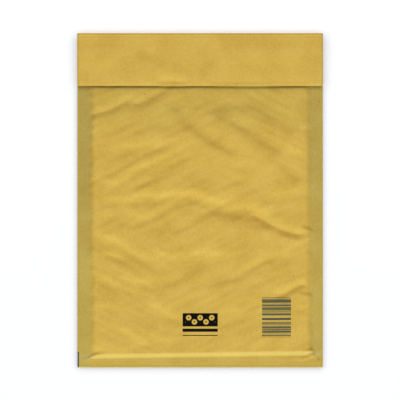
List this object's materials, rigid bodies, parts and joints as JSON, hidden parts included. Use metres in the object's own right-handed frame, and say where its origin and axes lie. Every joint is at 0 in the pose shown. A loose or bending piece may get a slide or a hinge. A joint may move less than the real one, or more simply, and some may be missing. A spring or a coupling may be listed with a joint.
{
  "type": "bubble mailer",
  "caption": "Padded kraft paper mailing bag with a bubble film lining, lying flat and empty, with its flap folded down over the front.",
  "frame": {"origin": "centre of the rectangle that the bag covers, on the surface that its back panel lies on", "axes": "+Z out of the front panel, +Y towards the top fold where the flap turns over, +X to the right seen from the front"},
  "size_m": [0.2, 0.2726, 0.0079],
  "materials": {
    "kraft_paper": null,
    "bubble_film": "clear soft air bubble film",
    "hot_melt_glue": "tacky pale glue",
    "cover_paper": "smooth release paper"
  },
  "bodies": {
    "root": {"kraft_envelope": "kraft_paper", "bubble_lining": "bubble_film", "glue_strip": "hot_melt_glue", "peel_off_cover": "cover_paper"}
  },
  "joints": []
}
